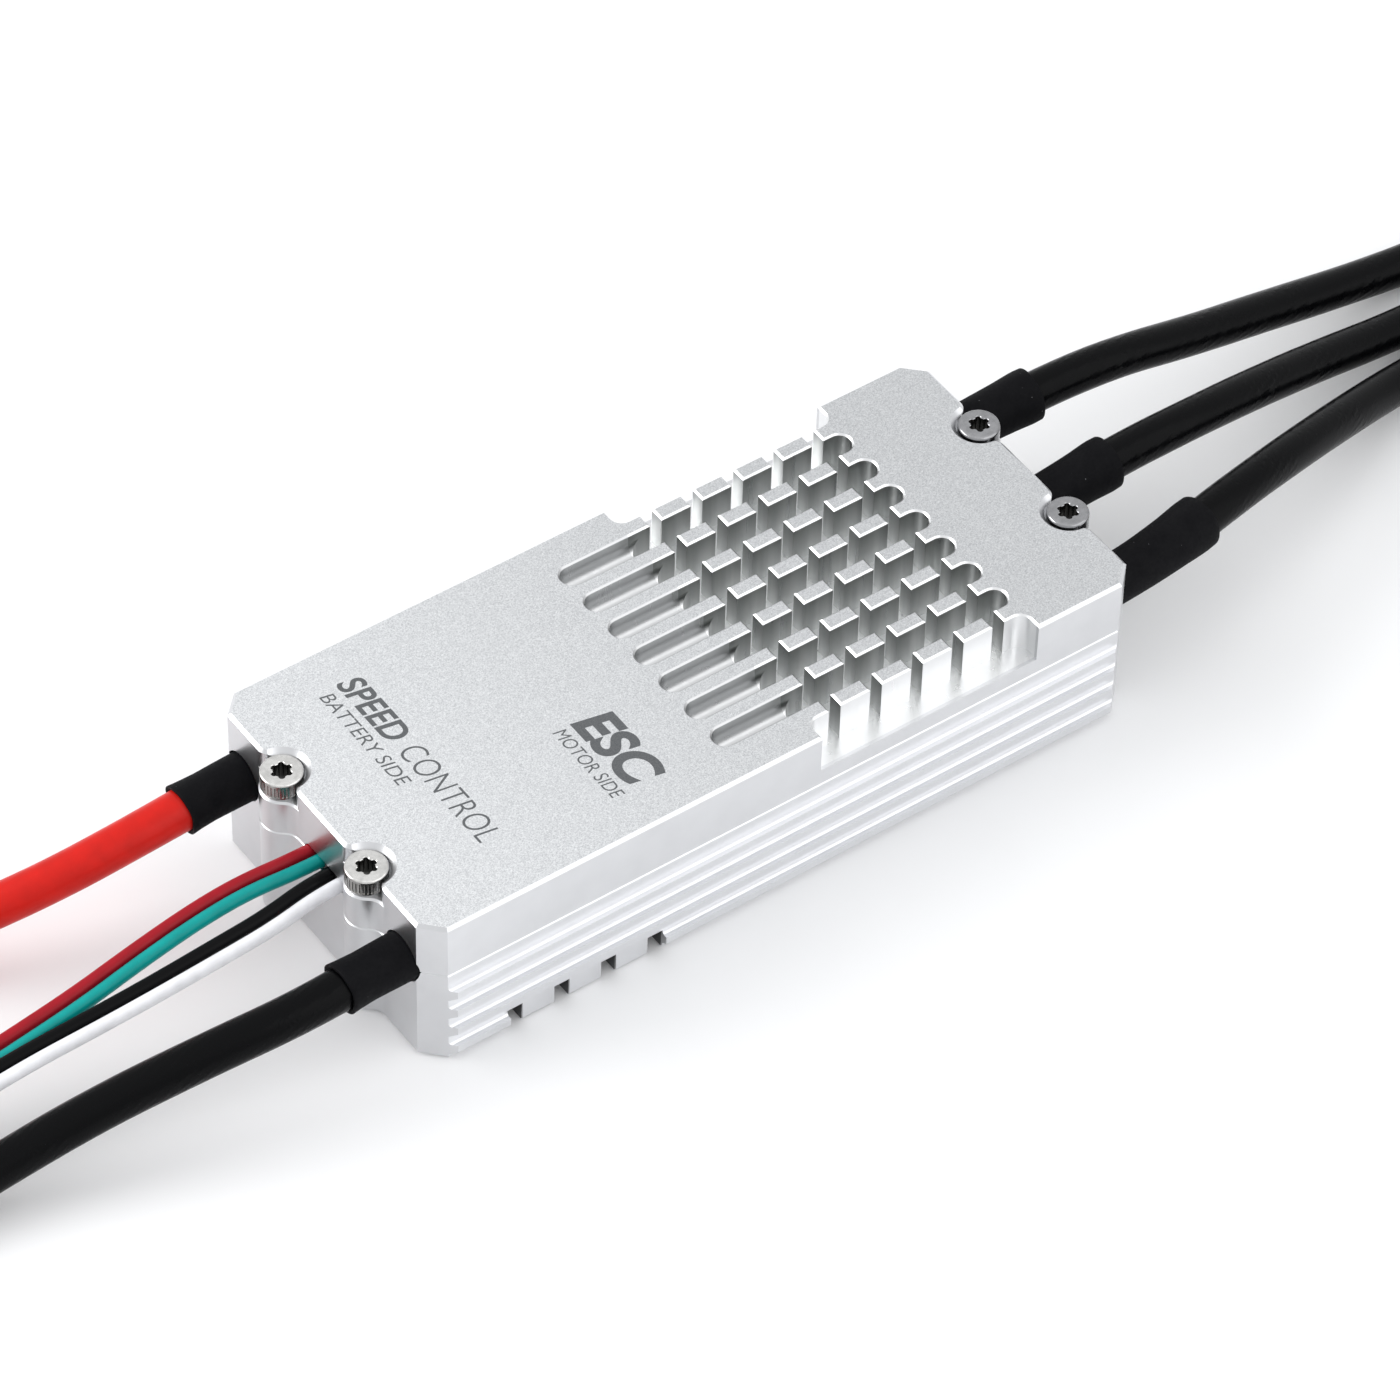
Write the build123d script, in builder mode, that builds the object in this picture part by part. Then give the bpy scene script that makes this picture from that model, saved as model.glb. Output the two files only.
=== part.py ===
"""Electronic speed controller in a milled two-part aluminium case.

Frame: +X towards the motor leads, -X towards the battery leads, +Z up.
The origin is the centre of the case's bottom face. All sizes are in millimetres.
"""

import os
from math import pi, radians, tan

from build123d import *

os.makedirs("parts", exist_ok=True)

# ---- case ------------------------------------------------------------------
case_length = 88.0
case_width = 38.66
case_height = 19.66
parting_z = 12.7
corner_leg = 2.24
edge_break = 0.4
top_break = 0.34
seam_break = 0.18
upper_seam_break = 0.11
end_x = case_length / 2
side_y = case_width / 2

# ---- side ribs of the lower shell --------------------------------------------
rib_proud = 0.7
rib_crest = 0.96
rib_slope = 0.5
rib_root_radius = 0.42
rib_pitch = 2.75
rib_count = 4
first_rib_top = 2.18

# ---- screws and the lugs that carry them ---------------------------------------
screw_x = 43.6
screw_y = 7.7
lug_radius = 2.45
lug_blend = 2.0
lug_x = 43.5
lug_root_x = 40.0
ledge_z = 17.2
ledge_break = 0.22
notch_radius = 2.5
notch_mouth_radius = 1.4
notch_mouth_leg = 0.55
head_diameter = 4.5
head_height = 2.29
head_clear = 0.06
head_base_leg = 0.36
shank_radius = 1.2
clearance_radius = 1.35
thread_radius = 1.25
thread_end_z = 5.0
socket_radius = 0.88
lobe_radius = 0.3
lobe_offset = 0.85
socket_depth = 1.3
socket_lip = 0.07
knurl_count = 36
knurl_depth = 0.11
knurl_from = 0.45
knurl_to = 1.85

# ---- pin fins of the upper shell -----------------------------------------------
fin_pitch = 4.5
fin_thickness = 1.8
fin_rows = 8
slot_width = fin_pitch - fin_thickness
slot_radius = slot_width / 2
field_floor_z = 14.8
field_x0 = 3.65
field_x1 = 31.0
cross_width = 1.5
cross_pitch = 5.17
cross_count = 5
cross_first_x = 7.15
fin_break = 0.19
edge_slot_y = fin_rows * fin_pitch / 2 - slot_radius
groove_tip_x = -5.6
groove_depth = 2.5

# ---- pin fins under the lower shell ----------------------------------------------
foot_slot_width = 1.85
foot_slot_depth = 2.7
foot_slot_pitch = 5.72
foot_slot_count = 4
foot_first_x = -33.75
foot_groove_x0 = -38.0
foot_groove_x1 = -12.3

# ---- openings for the leads -------------------------------------------------------
battery_y = 14.5
motor_y = 13.4
lead_hole_radius = 2.85
sleeve_radius = 2.7
battery_wire_radius = 2.25
motor_wire_radius = 2.25
sleeve_gap = 0.14
signal_radius = 0.74
signal_y = -0.55
signal_slot_width = 7.2
signal_slot_height = 1.76

# ---- inside the case ----------------------------------------------------------------
wall = 2.5
inner_x = end_x - wall
inner_y = side_y - wall
cavity_corner = 1.5
cavity_floor_z = 4.3
roof_z = 17.3
battery_roof_x1 = -8.0
motor_roof_x0 = 33.0
hole_outside = 3.0
hole_depth = hole_outside + wall + 2.0
boss_radius = 2.9
plinth_top_z = 7.4
board_z = 8.4
board_thickness = 1.6
board_length = 79.0
board_width = 31.6
board_top_z = board_z + board_thickness
control_z = 13.44
control_thickness = 1.0
control_top_z = control_z + control_thickness
fet_x0 = 7.5
fet_pitch_x = 6.5
fet_pitch_y = 10.0
fet_height = 1.0
post_places = [(-22.5, 13.2), (-22.5, -13.2), (36.5, 6.8), (36.5, -6.8)]
fit_gap = 0.02

# ---- routes of the free leads -------------------------------------------------------
battery_positive_route = [
    (-36.0, 14.5, 12.7),
    (-46.0, 14.5, 12.7),
    (-56.5, 14.6, 11.6),
    (-66.0, 15.9, 9.3),
    (-75.5, 18.8, 6.2),
    (-86.0, 21.4, 3.4),
    (-97.0, 22.6, 2.3),
    (-109.0, 22.3, 2.25),
    (-120.5, 20.8, 2.3),
    (-131.5, 20.2, 2.25),
]
battery_negative_route = [
    (-36.0, -14.5, 12.7),
    (-46.0, -14.5, 12.8),
    (-56.0, -14.7, 12.3),
    (-66.0, -12.8, 10.4),
    (-77.0, -10.3, 7.3),
    (-88.0, -9.0, 4.4),
    (-98.0, -8.9, 2.6),
    (-109.0, -9.8, 2.25),
    (-120.5, -11.0, 2.3),
    (-131.5, -11.2, 2.25),
]
motor_routes = {
    "a": [
        (38.0, 13.4, 12.7),
        (47.0, 13.35, 12.75),
        (56.5, 12.6, 14.0),
        (66.0, 12.5, 13.2),
        (76.5, 12.9, 10.2),
        (87.5, 13.8, 7.1),
        (98.0, 14.3, 4.4),
        (109.0, 14.4, 2.4),
        (120.5, 13.9, 2.25),
        (131.5, 13.7, 2.3),
    ],
    "b": [
        (38.0, 0.0, 12.7),
        (47.0, 0.05, 12.75),
        (56.5, 0.3, 13.6),
        (66.0, 0.6, 13.2),
        (76.0, 2.3, 10.7),
        (87.0, 4.4, 7.2),
        (98.0, 5.8, 4.1),
        (109.0, 6.6, 2.4),
        (120.0, 6.8, 2.25),
        (131.0, 6.6, 2.3),
    ],
    "c": [
        (38.0, -13.4, 12.7),
        (46.5, -13.4, 12.7),
        (55.0, -12.5, 13.1),
        (64.0, -10.6, 12.9),
        (73.5, -7.9, 11.0),
        (83.5, -4.6, 7.9),
        (93.0, -1.6, 4.8),
        (102.5, 0.3, 2.8),
        (113.0, 1.0, 2.25),
        (124.0, 0.6, 2.3),
        (134.0, 0.5, 2.25),
    ],
}
signal_routes = {
    "red": [
        (-40.4, 2.2, 12.7),
        (-46.0, 2.2, 12.7),
        (-52.0, 2.7, 12.6),
        (-58.0, 2.8, 11.8),
        (-65.0, 2.6, 10.4),
        (-72.0, 2.4, 8.7),
        (-80.0, 2.5, 7.0),
        (-88.0, 2.7, 5.4),
        (-97.0, 2.8, 4.0),
        (-106.0, 2.9, 2.9),
        (-115.0, 3.0, 2.25),
        (-124.0, 3.0, 2.25),
    ],
    "teal": [
        (-40.4, 0.5, 12.7),
        (-46.0, 0.5, 12.7),
        (-52.0, 1.1, 12.6),
        (-58.0, 1.2, 11.8),
        (-65.0, 1.0, 10.4),
        (-72.0, 0.7, 8.7),
        (-80.0, 0.8, 7.0),
        (-88.0, 0.9, 5.4),
        (-97.0, 1.0, 4.0),
        (-106.0, 1.0, 2.9),
        (-115.0, 1.0, 2.25),
        (-124.0, 1.0, 2.25),
    ],
    "black": [
        (-40.4, -1.4, 12.7),
        (-46.0, -1.4, 12.7),
        (-52.0, -2.0, 11.9),
        (-58.0, -1.9, 11.2),
        (-65.0, -1.7, 10.2),
        (-72.0, -1.2, 9.1),
        (-80.0, -0.6, 7.9),
        (-88.0, -0.2, 6.4),
        (-97.0, -0.3, 4.8),
        (-106.0, -0.7, 3.2),
        (-115.0, -1.0, 2.25),
        (-124.0, -1.0, 2.25),
    ],
    "white": [
        (-40.4, -3.2, 12.7),
        (-46.0, -3.2, 12.7),
        (-52.0, -3.8, 11.9),
        (-58.0, -3.7, 11.2),
        (-65.0, -3.4, 10.2),
        (-72.0, -2.9, 9.1),
        (-80.0, -2.2, 7.9),
        (-88.0, -1.9, 6.4),
        (-97.0, -2.1, 4.8),
        (-106.0, -2.6, 3.2),
        (-115.0, -3.0, 2.25),
        (-124.0, -3.0, 2.25),
    ],
}
tip_length = 8.0
tip_radius = 1.35
plug_length = 9.0


def save(piece, name):
    """Label a finished piece and write it as its own node."""
    piece.label = name
    export_step(piece, f"parts/{name}.step")


def case_outline(half_width=side_y, leg=corner_leg, mode=Mode.ADD):
    """Add the case's plan to the open sketch: a rectangle with 45-degree corners."""
    Polygon(
        (end_x, leg - half_width),
        (end_x, half_width - leg),
        (end_x - leg, half_width),
        (leg - end_x, half_width),
        (-end_x, half_width - leg),
        (-end_x, leg - half_width),
        (leg - end_x, -half_width),
        (end_x - leg, -half_width),
        align=None,
        mode=mode,
    )


def screw_places(x=screw_x, z=0.0):
    """The four screw axes, or four places beside them at another x."""
    return Locations(*[(sx * x, sy * screw_y, z) for sx in (1, -1) for sy in (1, -1)])


def end_corners(plan):
    """The corners that an outline has on the case's end faces, inside the cut corners."""
    return [
        v
        for v in plan.vertices()
        if abs(abs(v.X) - end_x) < 0.001 and abs(v.Y) < side_y - corner_leg - 0.01
    ]


def lugged_outline():
    """The case's plan with four rounded screw lugs blended into its ends."""
    with BuildSketch(Plane.XY) as plan:
        case_outline()
        with screw_places(lug_x):
            Circle(lug_radius)
        fillet(end_corners(plan), lug_blend)
    return plan.sketch


def cover_outline():
    """The case's plan with a notch for each screw head, rounded at its mouth."""
    with BuildSketch(Plane.XY) as plan:
        case_outline()
        with screw_places():
            Circle(notch_radius, mode=Mode.SUBTRACT)
        fillet(end_corners(plan), notch_mouth_radius)
    return plan.sketch


def inner_plan(x0, x1):
    """A room inside the case, with the walls kept thick around the screws."""
    with BuildSketch(Plane.XY) as plan:
        with Locations(((x0 + x1) / 2, 0)):
            RectangleRounded(x1 - x0, 2 * inner_y, cavity_corner)
        with screw_places():
            Circle(boss_radius, mode=Mode.SUBTRACT)
    return plan.sketch


def rib_profile(top_z):
    """Add one side rib's section: a flat ledge with a rounded root, and a sloped underside."""
    crest_y = side_y + rib_proud
    low_z = top_z - rib_crest
    root_z = top_z + rib_root_radius
    with BuildLine() as edge:
        Polyline(
            (side_y - 0.5, low_z - rib_slope),
            (side_y, low_z - rib_slope),
            (crest_y, low_z),
            (crest_y, top_z),
            (side_y + rib_root_radius, top_z),
        )
        RadiusArc((side_y + rib_root_radius, top_z), (side_y, root_z), rib_root_radius)
        Polyline((side_y, root_z), (side_y - 0.5, root_z), (side_y - 0.5, low_z - rib_slope))
    make_face(edge.edges())


def arc_radii(points):
    """The largest even arc for each corner of a route: 0.45 of its shorter run."""
    corners = [Vector(*p) for p in points]
    radii = []
    for before, corner, after in zip(corners, corners[1:], corners[2:]):
        arriving = corner - before
        leaving = after - corner
        half_turn = radians(arriving.get_angle(leaving)) / 2
        radii.append(0.45 * min(arriving.length, leaving.length) / tan(half_turn))
    return radii


def tube(points, outer_radius, bore_radius=0.0):
    """A round tube, or a hollow sleeve, along a route."""
    with BuildPart() as swept:
        with BuildLine():
            path = FilletPolyline(*points, radius=arc_radii(points))
        with BuildSketch(Plane(origin=path @ 0, z_dir=path % 0)):
            Circle(outer_radius)
            if bore_radius:
                Circle(bore_radius, mode=Mode.SUBTRACT)
        sweep()
    section = pi * (outer_radius**2 - bore_radius**2)
    ratio = swept.part.volume / (section * path.length)
    print(f"  tube length {path.length:.2f}, volume / (section x length) {ratio:.4f}")
    return swept.part


def sleeve_route(points, start_x, stop_x):
    """The first stretch of a lead's route, from start_x on run 1 to stop_x further out."""
    kept = [p for p in points if min(start_x, stop_x) < p[0] < max(start_x, stop_x)]
    first, second = Vector(*points[0]), Vector(*points[1])
    start = first + (second - first) * ((start_x - first.X) / (second.X - first.X))
    before = Vector(*kept[-1])
    after = Vector(*points[points.index(kept[-1]) + 1])
    stop = before + (after - before) * ((stop_x - before.X) / (after.X - before.X))
    return [tuple(start), *kept, tuple(stop)]


def tip(points):
    """The bare, tinned strands past the end of a lead's insulation."""
    end = Vector(*points[-1])
    along = (end - Vector(*points[-2])).normalized()
    with BuildPart() as strands:
        with BuildSketch(Plane(origin=end, z_dir=along)):
            Circle(tip_radius)
        extrude(amount=tip_length)
        fillet(strands.edges().group_by(Axis((0, 0, 0), tuple(along)))[-1], tip_radius * 0.35)
    return strands.part


# ---- lead holes and signal slot, through both shells' end walls --------------------------------
with BuildPart() as openings:
    with BuildSketch(Plane.YZ.offset(-end_x - hole_outside)):
        with Locations((battery_y, parting_z), (-battery_y, parting_z)):
            Circle(lead_hole_radius)
        with Locations((signal_y, parting_z)):
            SlotOverall(signal_slot_width, signal_slot_height)
    extrude(amount=hole_depth)
    with BuildSketch(Plane.YZ.offset(end_x + hole_outside)):
        with Locations((motor_y, parting_z), (0, parting_z), (-motor_y, parting_z)):
            Circle(lead_hole_radius)
    extrude(amount=-hole_depth)

# ---- lower shell ---------------------------------------------------------------------------
plinth_x0 = fet_x0 - fet_pitch_x / 2
plinth_x1 = fet_x0 + 3.5 * fet_pitch_x
rib_tops = [first_rib_top + i * rib_pitch for i in range(rib_count)]
foot_slots = [foot_first_x + i * foot_slot_pitch for i in range(foot_slot_count)]
foot_x0 = foot_slots[0] - foot_slot_width / 2
foot_x1 = foot_slots[-1] + foot_slot_width / 2
inner_lanes = [(i - 3) * fin_pitch for i in range(fin_rows - 1)]

with BuildPart() as ribs:
    with BuildSketch(Plane.YZ.offset(-end_x)):
        for top_z in rib_tops:
            rib_profile(top_z)
    extrude(amount=case_length)
    mirror(about=Plane.XZ)
    with BuildSketch(Plane.XY):
        Rectangle(case_length + 2, case_width + 4)
        case_outline(side_y + rib_proud, corner_leg + rib_proud, Mode.SUBTRACT)
    extrude(amount=parting_z, mode=Mode.SUBTRACT)

with BuildPart() as lower_shell:
    add(lugged_outline())
    extrude(amount=parting_z)
    chamfer(lower_shell.faces().sort_by(Axis.Z)[0].edges(), edge_break)
    chamfer(lower_shell.faces().sort_by(Axis.Z)[-1].edges(), seam_break)
    add(ribs.part)
    # the lowest rib is milled away beside the foot slots
    with Locations(((foot_x0 + foot_x1) / 2, 0, 0)):
        with Locations((0, side_y + 1, 0), (0, -side_y - 1, 0)):
            Box(
                foot_x1 - foot_x0,
                2.0,
                foot_slot_depth + 0.05,
                align=(Align.CENTER, Align.CENTER, Align.MIN),
                mode=Mode.SUBTRACT,
            )
    # cross slots and lengthwise grooves under the battery end
    with BuildSketch(Plane.XY):
        with Locations(*[(x, 0) for x in foot_slots]):
            Rectangle(foot_slot_width, case_width + 4)
        with Locations(*[((foot_groove_x0 + foot_groove_x1) / 2, y) for y in inner_lanes]):
            SlotOverall(foot_groove_x1 - foot_groove_x0, slot_width)
    extrude(amount=foot_slot_depth, mode=Mode.SUBTRACT)
    # room for the boards, around a plinth that backs the power transistors
    with BuildSketch(Plane.XY.offset(cavity_floor_z)):
        add(inner_plan(-inner_x, inner_x))
    extrude(amount=parting_z - cavity_floor_z, mode=Mode.SUBTRACT)
    with BuildSketch(Plane.XY.offset(cavity_floor_z)):
        with Locations(((plinth_x0 + plinth_x1) / 2, 0)):
            RectangleRounded(plinth_x1 - plinth_x0, 2 * inner_y - 6, 1.0)
    extrude(amount=plinth_top_z - cavity_floor_z)
    # half of each lead hole, half of the signal slot, and the four screw threads
    add(openings.part, mode=Mode.SUBTRACT)
    with BuildSketch(Plane.XY.offset(thread_end_z)):
        with screw_places():
            Circle(thread_radius)
    extrude(amount=parting_z - thread_end_z, mode=Mode.SUBTRACT)
    # the board's mounting posts stand on the floor and take a small thread each
    with BuildSketch(Plane.XY.offset(cavity_floor_z)):
        with Locations(*post_places):
            Circle(1.7)
    extrude(amount=board_z - cavity_floor_z - fit_gap)
    with BuildSketch(Plane.XY.offset(cavity_floor_z + 1.0)):
        with Locations(*post_places):
            Circle(0.8)
    extrude(amount=board_z, mode=Mode.SUBTRACT)
save(lower_shell.part, "lower_shell")

# ---- upper shell ----------------------------------------------------------------------------
cross_slots = [cross_first_x + i * cross_pitch for i in range(cross_count)]

# the four lugs, up to the ledge under the screw heads
with BuildPart() as lugs:
    with BuildSketch(Plane.XY.offset(parting_z)):
        add(lugged_outline())
        Rectangle(2 * lug_root_x, case_width + 2, mode=Mode.SUBTRACT)
    extrude(amount=ledge_z - parting_z)
    chamfer(lugs.faces().filter_by(Axis.Z).group_by(Axis.Z)[-1].edges(), ledge_break)

with BuildPart() as upper_shell:
    with BuildSketch(Plane.XY.offset(parting_z)):
        add(cover_outline())
    extrude(amount=case_height - parting_z)
    chamfer(upper_shell.faces().sort_by(Axis.Z)[-1].edges(), top_break)
    # a wider bevel round each screw head
    with screw_places(z=case_height - notch_mouth_leg):
        Cone(
            notch_radius,
            notch_radius + notch_mouth_leg,
            notch_mouth_leg,
            align=(Align.CENTER, Align.CENTER, Align.MIN),
            mode=Mode.SUBTRACT,
        )
    # deep lanes and cross cuts leave the square pins standing
    with BuildSketch(Plane.XY.offset(field_floor_z)):
        with Locations(*[((field_x0 + field_x1) / 2, y) for y in inner_lanes]):
            SlotOverall(field_x1 - field_x0, slot_width)
        with Locations(*[(x, 0) for x in cross_slots]):
            Rectangle(cross_width, case_width + 4)
    extrude(amount=case_height, mode=Mode.SUBTRACT)
    for side in (1, -1):
        with BuildSketch(Plane.XY.offset(field_floor_z)):
            with Locations(((field_x0 + field_x1) / 2, side * (edge_slot_y + 3))):
                RectangleRounded(field_x1 - field_x0, 2 * 3.0, slot_radius)
            with Locations(((field_x0 + field_x1) / 2, side * (edge_slot_y + 6))):
                Rectangle(field_x1 - field_x0, 2 * 4.0)
        extrude(amount=case_height, mode=Mode.SUBTRACT)
    # shallow round-bottomed grooves run on from the inner lanes
    groove_axis_z = case_height - groove_depth + slot_radius
    groove_x0 = groove_tip_x + slot_radius
    groove_x1 = field_x0 + slot_radius
    with BuildSketch(Plane.XY.offset(groove_axis_z)):
        with Locations(*[((groove_x0 + groove_x1) / 2, y) for y in inner_lanes]):
            SlotCenterToCenter(groove_x1 - groove_x0, slot_width)
    extrude(amount=case_height, mode=Mode.SUBTRACT)
    with BuildSketch(Plane.YZ.offset(groove_x0)):
        with Locations(*[(y, groove_axis_z) for y in inner_lanes]):
            Circle(slot_radius)
    extrude(amount=groove_x1 - groove_x0, mode=Mode.SUBTRACT)
    with Locations(*[(groove_x0, y, groove_axis_z) for y in inner_lanes]):
        Sphere(slot_radius, mode=Mode.SUBTRACT)
    # the fins' own edges are broken less than the case's outline
    chamfer(
        [
            edge
            for edge in upper_shell.faces().filter_by(Axis.Z).group_by(Axis.Z)[-1].edges()
            if groove_tip_x - 0.1 < edge.center().X < field_x1 + 0.1
            and abs(edge.center().Y) < side_y - top_break - 0.01
        ],
        fin_break,
    )
    add(lugs.part)
    seam_edges = upper_shell.faces().filter_by(Axis.Z).group_by(Axis.Z)[0].edges()
    chamfer(seam_edges, upper_seam_break)
    # rooms above the control board and above the motor leads' joints
    for x0, x1 in ((-inner_x, battery_roof_x1), (motor_roof_x0, inner_x)):
        with BuildSketch(Plane.XY.offset(parting_z)):
            add(inner_plan(x0, x1))
        extrude(amount=roof_z - parting_z, mode=Mode.SUBTRACT)
    add(openings.part, mode=Mode.SUBTRACT)
    with BuildSketch(Plane.XY.offset(parting_z)):
        with screw_places():
            Circle(clearance_radius)
    extrude(amount=ledge_z - parting_z, mode=Mode.SUBTRACT)
save(upper_shell.part, "upper_shell")

# ---- screws ------------------------------------------------------------------------------------


def cap_screws(side, knurled, top_radius):
    """The two socket-head screws at one end of the case, with six-lobe sockets."""
    places = Locations((side * screw_x, screw_y), (side * screw_x, -screw_y))
    head_z = ledge_z + head_clear
    head_top_z = head_z + head_height
    head_radius = head_diameter / 2
    with BuildPart() as screws:
        with BuildSketch(Plane.XY.offset(head_z)):
            with places:
                Circle(head_radius)
        extrude(amount=head_height)
        fillet(screws.edges().group_by(Axis.Z)[-1], top_radius)
        chamfer(screws.edges().group_by(Axis.Z)[0], head_base_leg)
        if knurled:
            with BuildSketch(Plane.XY.offset(head_z + knurl_from)):
                with places:
                    with PolarLocations(head_radius + 0.02, knurl_count):
                        Circle(knurl_depth)
            extrude(amount=knurl_to - knurl_from, mode=Mode.SUBTRACT)
        with BuildSketch(Plane.XY.offset(head_top_z)):
            with places:
                Circle(socket_radius)
                with PolarLocations(lobe_offset, 6):
                    Circle(lobe_radius)
        extrude(amount=-socket_depth, mode=Mode.SUBTRACT)
        tops = screws.faces().filter_by(Axis.Z).group_by(Axis.Z)[-1]
        chamfer([e for top in tops for wire in top.inner_wires() for e in wire.edges()], socket_lip)
        with BuildSketch(Plane.XY.offset(head_z)):
            with places:
                Circle(shank_radius)
        extrude(amount=thread_end_z + 0.4 - head_z)
        chamfer(screws.edges().group_by(Axis.Z)[0], 0.3)
    return screws.part


save(cap_screws(-1, True, 0.25), "battery_end_screws")
save(cap_screws(1, False, 0.33), "motor_end_screws")

# ---- boards and their parts -----------------------------------------------------------------------


def blocks(places, length, width, height, base_z, edge=0.12):
    """Equal rectangular packages standing on a board, as separate solids."""
    with BuildPart() as group:
        with BuildSketch(Plane.XY.offset(base_z)):
            with Locations(*places):
                Rectangle(length, width)
        extrude(amount=height)
        chamfer(group.edges().group_by(Axis.Z)[-1], edge)
    return group.part


with BuildPart() as power_board:
    with BuildSketch(Plane.XY.offset(board_z)):
        RectangleRounded(board_length, board_width, 1.2)
        with Locations(*post_places):
            Circle(1.1, mode=Mode.SUBTRACT)
    extrude(amount=board_thickness)
save(power_board.part, "power_board")

fet_columns = [fet_x0 + i * fet_pitch_x for i in range(4)]
fet_rows = [-fet_pitch_y, 0.0, fet_pitch_y]
fet_places = [(x, y) for x in fet_columns for y in fet_rows]
save(blocks(fet_places, 5.0, 6.0, fet_height, board_top_z), "power_mosfets")
save(blocks([(1.2, y) for y in fet_rows], 2.6, 6.0, 0.8, board_top_z), "current_shunts")
save(blocks([(-4.2, y) for y in fet_rows], 4.5, 4.5, 0.9, board_top_z), "gate_drivers")
capacitor_places = [(-34.0 + 6.4 * i, -7.2 + 4.8 * j) for i in range(3) for j in range(4)]
save(blocks(capacitor_places, 5.7, 4.2, 2.6, board_top_z, 0.3), "bus_capacitors")
save(blocks([(-10.9, 7.4)], 5.0, 5.0, 2.4, board_top_z, 0.4), "regulator_inductor")
header_height = control_z - board_top_z
save(blocks([(-11.2, -3.0)], 2.5, 12.7, header_height, board_top_z), "board_header")

with BuildPart() as control_board:
    with BuildSketch(Plane.XY.offset(control_z)):
        with Locations((-24.8, 0)):
            RectangleRounded(30.6, 22.0, 0.8)
    extrude(amount=control_thickness)
save(control_board.part, "control_board")
save(blocks([(-23.0, 2.0)], 7.0, 7.0, 1.0, control_top_z), "microcontroller")
transceivers = [(-32.0, 5.5), (-32.0, -5.5), (-14.5, -4.0)]
save(blocks(transceivers, 4.0, 5.0, 0.9, control_top_z), "interface_chips")

pad_x = (plinth_x0 + plinth_x1) / 2
pad_length = plinth_x1 - plinth_x0 - 1.0
fet_top_z = board_top_z + fet_height
with BuildPart() as thermal_pad_upper:
    with BuildSketch(Plane.XY.offset(fet_top_z)):
        with Locations((pad_x, 0)):
            RectangleRounded(pad_length, 28.0, 1.0)
    extrude(amount=parting_z - fet_top_z)
save(thermal_pad_upper.part, "thermal_pad_upper")
with BuildPart() as thermal_pad_lower:
    with BuildSketch(Plane.XY.offset(plinth_top_z)):
        with Locations((pad_x, 0)):
            RectangleRounded(pad_length, 26.0, 1.0)
    extrude(amount=board_z - plinth_top_z)
save(thermal_pad_lower.part, "thermal_pad_lower")

with BuildPart() as board_screws:
    with BuildSketch(Plane.XY.offset(board_top_z)):
        with Locations(*post_places):
            Circle(1.6)
    extrude(amount=1.2)
    fillet(board_screws.edges().group_by(Axis.Z)[-1], 0.4)
    with BuildSketch(Plane.XY.offset(board_top_z + 1.2)):
        with Locations(*post_places):
            RegularPolygon(0.65, 6)
    extrude(amount=-0.6, mode=Mode.SUBTRACT)
    with BuildSketch(Plane.XY.offset(board_top_z)):
        with Locations(*post_places):
            Circle(0.75)
    extrude(amount=-3.6)
save(board_screws.part, "board_screws")

bar_top_z = parting_z - battery_wire_radius
battery_bars = [(-31.0, battery_y - 0.4), (-31.0, 0.4 - battery_y)]
bar_height = bar_top_z - board_top_z
save(blocks(battery_bars, 11.0, 3.2, bar_height, board_top_z, 0.05), "battery_bus_bars")
motor_bar_places = [(36.6, y * 0.98) for y in (motor_y, 0.0, -motor_y)]
pad_height = bar_height - fit_gap
save(blocks(motor_bar_places, 4.6, 4.0, pad_height, board_top_z, 0.05), "motor_solder_pads")

# ---- leads, their sleeves and their tinned ends ------------------------------------------------------
sleeve_in_x = inner_x + 0.1
power_leads = {
    "battery_positive": (battery_positive_route, battery_wire_radius, -sleeve_in_x, -51.5),
    "battery_negative": (battery_negative_route, battery_wire_radius, -sleeve_in_x, -51.4),
    "motor_a": (motor_routes["a"], motor_wire_radius, sleeve_in_x, 54.6),
    "motor_b": (motor_routes["b"], motor_wire_radius, sleeve_in_x, 55.3),
    "motor_c": (motor_routes["c"], motor_wire_radius, sleeve_in_x, 58.2),
}
for name, (route, wire_radius, sleeve_start, sleeve_stop) in power_leads.items():
    print(name, "radii", [round(r, 1) for r in arc_radii(route)])
    save(tube(route, wire_radius), f"{name}_lead")
    short_route = sleeve_route(route, sleeve_start, sleeve_stop)
    save(tube(short_route, sleeve_radius, wire_radius + sleeve_gap), f"{name}_sleeve")

battery_ends = [battery_positive_route, battery_negative_route]
save(Compound(children=[tip(route) for route in battery_ends]), "battery_lead_tips")
motor_ends = [motor_routes[k] for k in ("a", "b", "c")]
save(Compound(children=[tip(route) for route in motor_ends]), "motor_lead_tips")

for colour, route in signal_routes.items():
    print(colour, "radii", [round(r, 1) for r in arc_radii(route)])
    save(tube(route, signal_radius), f"signal_wire_{colour}")

# ---- signal wires' seal and plug ------------------------------------------------------------------------
with BuildPart() as signal_grommet:
    with BuildSketch(Plane.YZ.offset(-end_x + 0.25)):
        with Locations((signal_y, parting_z)):
            SlotOverall(signal_slot_width, signal_slot_height)
        with Locations(*[route[0][1:] for route in signal_routes.values()]):
            Circle(signal_radius + fit_gap, mode=Mode.SUBTRACT)
    extrude(amount=wall - 0.25)
save(signal_grommet.part, "signal_grommet")

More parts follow.
